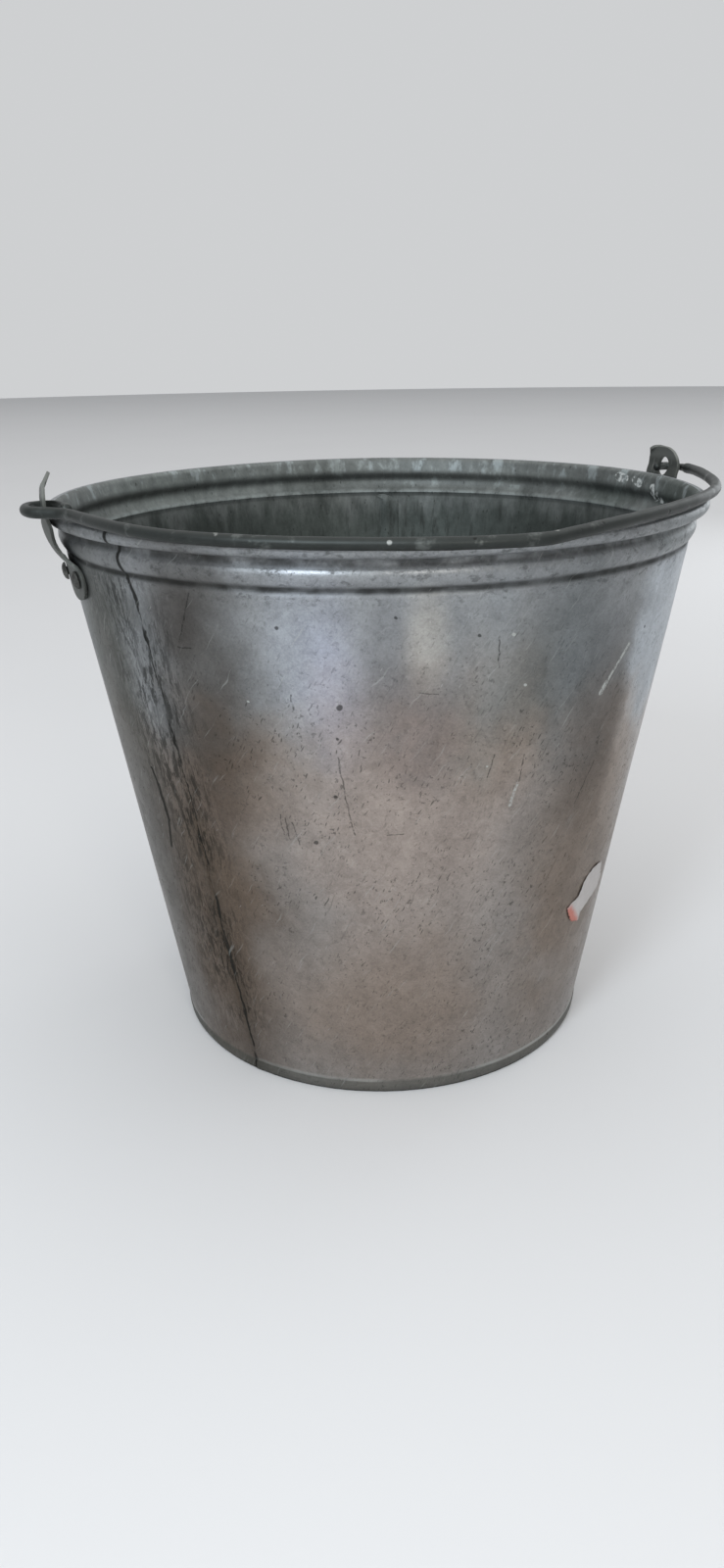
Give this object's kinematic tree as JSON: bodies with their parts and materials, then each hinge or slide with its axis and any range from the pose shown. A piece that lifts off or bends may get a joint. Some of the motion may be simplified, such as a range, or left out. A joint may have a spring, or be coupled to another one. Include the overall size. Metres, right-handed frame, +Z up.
{
  "type": "galvanised metal bucket",
  "caption": "Weathered galvanised steel pail with a tapered body, wired rim, riveted ears and a bent wire bail lying on the rim",
  "frame": {"origin": "under the middle of the object's outline, its lying bail included, with z 0 in the plane of the foot that it stands on. The axis of the cone is 8.5 mm to +Y of it", "axes": "+Z up along the axis of the cone, the ears on the X axis, -Y toward the side that the bail lies down on"},
  "size_m": [0.3258, 0.3176, 0.2777],
  "materials": {
    "zinc_sheet": "dull weathered hot-dip zinc with spangle, pits and grime",
    "zinc_wire": "dull weathered zinc",
    "ear_plate": "dull stamped plate, weathered",
    "rivet": "dark oxidised steel",
    "bail_wire": "matte dark grey-green oxidised zinc with worn light spots",
    "label_paper": "torn sun-bleached paper scrap, matte"
  },
  "bodies": {
    "bucket": {"front_body_sheet": "zinc_sheet", "back_body_sheet": "zinc_sheet", "bottom_pan": "zinc_sheet", "rim_wire": "zinc_wire", "right_ear": "ear_plate", "right_ear_front_rivet": "rivet", "right_ear_rear_rivet": "rivet", "left_ear": "ear_plate", "left_ear_front_rivet": "rivet", "left_ear_rear_rivet": "rivet", "label_scrap": "label_paper"},
    "bail": {"bail_handle": "bail_wire"}
  },
  "joints": [
    {"name": "bail_swing", "type": "hinge", "parent": "bucket", "child": "bail", "pos_m": [0, 0.0023, 0.2639], "axis": [-1, 0, 0], "range_deg": [0, 180]}
  ]
}
